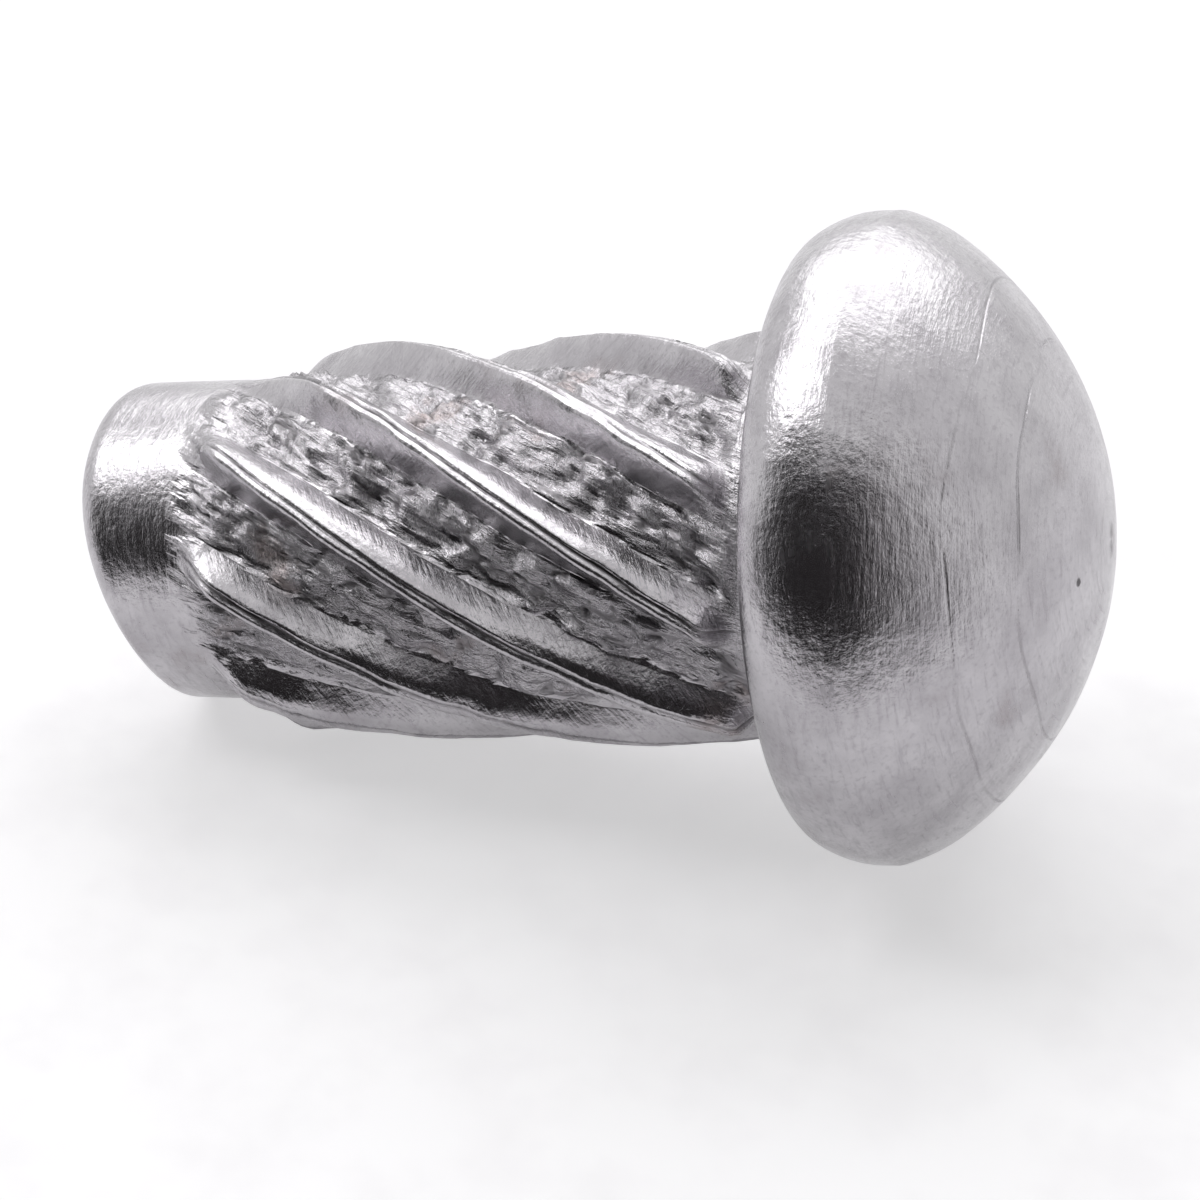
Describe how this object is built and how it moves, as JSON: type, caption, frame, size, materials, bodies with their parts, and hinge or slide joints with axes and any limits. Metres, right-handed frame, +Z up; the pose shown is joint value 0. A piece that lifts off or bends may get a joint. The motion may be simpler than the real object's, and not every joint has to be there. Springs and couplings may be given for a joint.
{
  "type": "hammer drive screw",
  "caption": "Round-head hammer drive screw with a plain pilot and coarse helical ridges, lying on its side.",
  "frame": {"origin": "under the middle of the screw, on the surface that it lies on", "axes": "+X along the length from the pilot to the head, +Z up"},
  "size_m": [0.0066, 0.0038, 0.0038],
  "materials": {
    "plated_steel": "bright plated steel: satin on the head, pilot and ridge crests, rough and torn in the flutes, with small pits and fine scratches"
  },
  "bodies": {
    "root": {"drive_screw": "plated_steel"}
  },
  "joints": []
}
